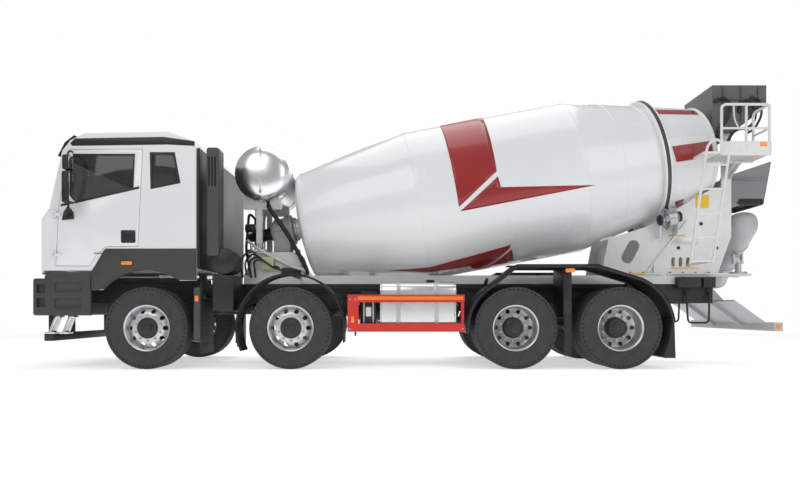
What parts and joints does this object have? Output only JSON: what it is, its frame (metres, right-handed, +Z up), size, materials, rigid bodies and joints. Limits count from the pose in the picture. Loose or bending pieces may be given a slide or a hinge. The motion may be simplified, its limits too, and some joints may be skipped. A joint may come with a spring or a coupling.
{
  "type": "concrete mixer truck",
  "caption": "Concrete mixer truck: tilting cab, steered and driven axles, tilted rotating drum with feed hopper, discharge funnel and swinging chute.",
  "frame": {"origin": "on the ground, under the middle of the truck's length and width", "axes": "+X to the rear of the truck, +Y to its right side, +Z up"},
  "size_m": [9.97, 3.03, 3.9213],
  "materials": {
    "white_paint": "gloss",
    "charcoal_plastic": "moulded grain",
    "black_steel": "satin",
    "grey_paint": "satin",
    "silver_paint": "satin",
    "red_paint": "gloss",
    "tyre_rubber": "matt",
    "flap_rubber": "matt",
    "aluminium": "brushed",
    "cast_iron": "as cast",
    "screen_glass": "tinted, polished",
    "trim_fabric": "woven"
  },
  "bodies": {
    "frame": {"air_intake": "grey_paint", "battery_box": "charcoal_plastic", "chassis_frame": "black_steel", "discharge_funnel": "silver_paint", "drive_axle_3": "black_steel", "drive_axle_4": "black_steel", "drum_drive": "grey_paint", "engine_block": "cast_iron", "front_bumper": "charcoal_plastic", "fuel_tank": "aluminium", "hopper": "grey_paint", "ladder": "white_paint", "middle_mudguard_left": "black_steel", "middle_mudguard_right": "black_steel", "rear_bumper": "silver_paint", "rear_mudguard_left": "black_steel", "rear_mudguard_right": "black_steel", "rear_pedestal": "white_paint", "side_guard_left": "red_paint", "side_guard_right": "red_paint", "steer_axle_1": "black_steel", "steer_axle_2": "black_steel", "subframe": "white_paint", "water_tank": "aluminium", "wing_flap_left": "flap_rubber", "wing_flap_right": "flap_rubber"},
    "cab": {"cab_shell": "white_paint", "windscreen": "screen_glass", "seat_left": "trim_fabric", "seat_right": "trim_fabric", "dashboard": "charcoal_plastic"},
    "door_left": {"door_left": "white_paint"},
    "door_right": {"door_right": "white_paint"},
    "front_lid": {"front_panel": "white_paint"},
    "steering_wheel": {"steering_wheel": "charcoal_plastic"},
    "knuckle_1_left": {"knuckle_1_left": "cast_iron"},
    "wheel_1_left": {"tyre_1_left": "tyre_rubber", "rim_1_left": "silver_paint"},
    "knuckle_1_right": {"knuckle_1_right": "cast_iron"},
    "wheel_1_right": {"tyre_1_right": "tyre_rubber", "rim_1_right": "silver_paint"},
    "knuckle_2_left": {"knuckle_2_left": "cast_iron"},
    "wheel_2_left": {"tyre_2_left": "tyre_rubber", "rim_2_left": "silver_paint"},
    "knuckle_2_right": {"knuckle_2_right": "cast_iron"},
    "wheel_2_right": {"tyre_2_right": "tyre_rubber", "rim_2_right": "silver_paint"},
    "wheel_3_left": {"twin_tyres_3_left": "tyre_rubber", "drive_hub_3_left": "silver_paint"},
    "wheel_3_right": {"twin_tyres_3_right": "tyre_rubber", "drive_hub_3_right": "silver_paint"},
    "wheel_4_left": {"twin_tyres_4_left": "tyre_rubber", "drive_hub_4_left": "silver_paint"},
    "wheel_4_right": {"twin_tyres_4_right": "tyre_rubber", "drive_hub_4_right": "silver_paint"},
    "drum": {"mixing_drum": "white_paint"},
    "roller_left": {"roller_left": "cast_iron"},
    "roller_right": {"roller_right": "cast_iron"},
    "chute_turntable": {"chute_turntable": "silver_paint"},
    "chute": {"chute": "silver_paint"}
  },
  "joints": [
    {"name": "cab_tilt", "type": "hinge", "parent": "frame", "child": "cab", "pos_m": [-4.925, 0, 1.19], "axis": [0, -1, 0], "range_deg": [0, 50]},
    {"name": "door_left_hinge", "type": "hinge", "parent": "cab", "child": "door_left", "pos_m": [-4.679, -1.259, 1.32], "axis": [0, 0, -1], "range_deg": [0, 70]},
    {"name": "door_right_hinge", "type": "hinge", "parent": "cab", "child": "door_right", "pos_m": [-4.679, 1.259, 1.32], "axis": [0, 0, 1], "range_deg": [0, 70]},
    {"name": "front_lid_hinge", "type": "hinge", "parent": "cab", "child": "front_lid", "pos_m": [-4.905, 0, 1.925], "axis": [0, 1, 0], "range_deg": [0, 75]},
    {"name": "steer_first_left", "type": "hinge", "parent": "frame", "child": "knuckle_1_left", "pos_m": [-3.524, -0.88, 0.53], "axis": [0, 0, 1], "range_deg": [-35, 35]},
    {"name": "wheel_1_left_spin", "type": "hinge", "parent": "knuckle_1_left", "child": "wheel_1_left", "pos_m": [-3.524, -1.1, 0.53], "axis": [0, 1, 0], "continuous": true},
    {"name": "steer_first_right", "type": "hinge", "parent": "frame", "child": "knuckle_1_right", "pos_m": [-3.524, 0.88, 0.53], "axis": [0, 0, 1], "range_deg": [-35, 35]},
    {"name": "wheel_1_right_spin", "type": "hinge", "parent": "knuckle_1_right", "child": "wheel_1_right", "pos_m": [-3.524, 1.1, 0.53], "axis": [0, 1, 0], "continuous": true},
    {"name": "steer_second_left", "type": "hinge", "parent": "frame", "child": "knuckle_2_left", "pos_m": [-1.674, -0.88, 0.53], "axis": [0, 0, 1], "range_deg": [-25, 25]},
    {"name": "wheel_2_left_spin", "type": "hinge", "parent": "knuckle_2_left", "child": "wheel_2_left", "pos_m": [-1.674, -1.1, 0.53], "axis": [0, 1, 0], "continuous": true},
    {"name": "steer_second_right", "type": "hinge", "parent": "frame", "child": "knuckle_2_right", "pos_m": [-1.674, 0.88, 0.53], "axis": [0, 0, 1], "range_deg": [-25, 25]},
    {"name": "wheel_2_right_spin", "type": "hinge", "parent": "knuckle_2_right", "child": "wheel_2_right", "pos_m": [-1.674, 1.1, 0.53], "axis": [0, 1, 0], "continuous": true},
    {"name": "steering_wheel_turn", "type": "hinge", "parent": "cab", "child": "steering_wheel", "pos_m": [-4.145, -0.58, 2.04], "axis": [0.6, 0, 0.8], "range_deg": [-630, 630]},
    {"name": "wheel_3_left_spin", "type": "hinge", "parent": "frame", "child": "wheel_3_left", "pos_m": [1.226, -1.1, 0.53], "axis": [0, 1, 0], "continuous": true},
    {"name": "wheel_3_right_spin", "type": "hinge", "parent": "frame", "child": "wheel_3_right", "pos_m": [1.226, 1.1, 0.53], "axis": [0, 1, 0], "continuous": true},
    {"name": "wheel_4_left_spin", "type": "hinge", "parent": "frame", "child": "wheel_4_left", "pos_m": [2.576, -1.1, 0.53], "axis": [0, 1, 0], "continuous": true},
    {"name": "wheel_4_right_spin", "type": "hinge", "parent": "frame", "child": "wheel_4_right", "pos_m": [2.576, 1.1, 0.53], "axis": [0, 1, 0], "continuous": true},
    {"name": "drum_spin", "type": "hinge", "parent": "frame", "child": "drum", "pos_m": [-1.63, 0, 1.98362], "axis": [0.983, 0, 0.1836], "continuous": true},
    {"name": "roller_left_spin", "type": "hinge", "parent": "frame", "child": "roller_left", "pos_m": [3.468, -0.578, 2.031], "axis": [0.983, 0, 0.1836], "continuous": true},
    {"name": "roller_right_spin", "type": "hinge", "parent": "frame", "child": "roller_right", "pos_m": [3.468, 0.578, 2.031], "axis": [0.983, 0, 0.1836], "continuous": true},
    {"name": "chute_swing", "type": "hinge", "parent": "frame", "child": "chute_turntable", "pos_m": [4.715, 0, 1.2935], "axis": [0, 0, 1], "range_deg": [-180, 0]},
    {"name": "chute_tilt", "type": "hinge", "parent": "chute_turntable", "child": "chute", "pos_m": [4.715, 0.0271, 1.5635], "axis": [1, 0, 0], "range_deg": [-10, 15]}
  ],
  "couplings": [
    {"joint": "steer_first_right", "follows": "steer_first_left", "ratio": 1},
    {"joint": "steer_second_left", "follows": "steer_first_left", "ratio": 0.7},
    {"joint": "steer_second_right", "follows": "steer_first_left", "ratio": 0.7},
    {"joint": "steering_wheel_turn", "follows": "steer_first_left", "ratio": 18},
    {"joint": "roller_left_spin", "follows": "drum_spin", "ratio": -6.0333},
    {"joint": "roller_right_spin", "follows": "drum_spin", "ratio": -6.0333}
  ]
}
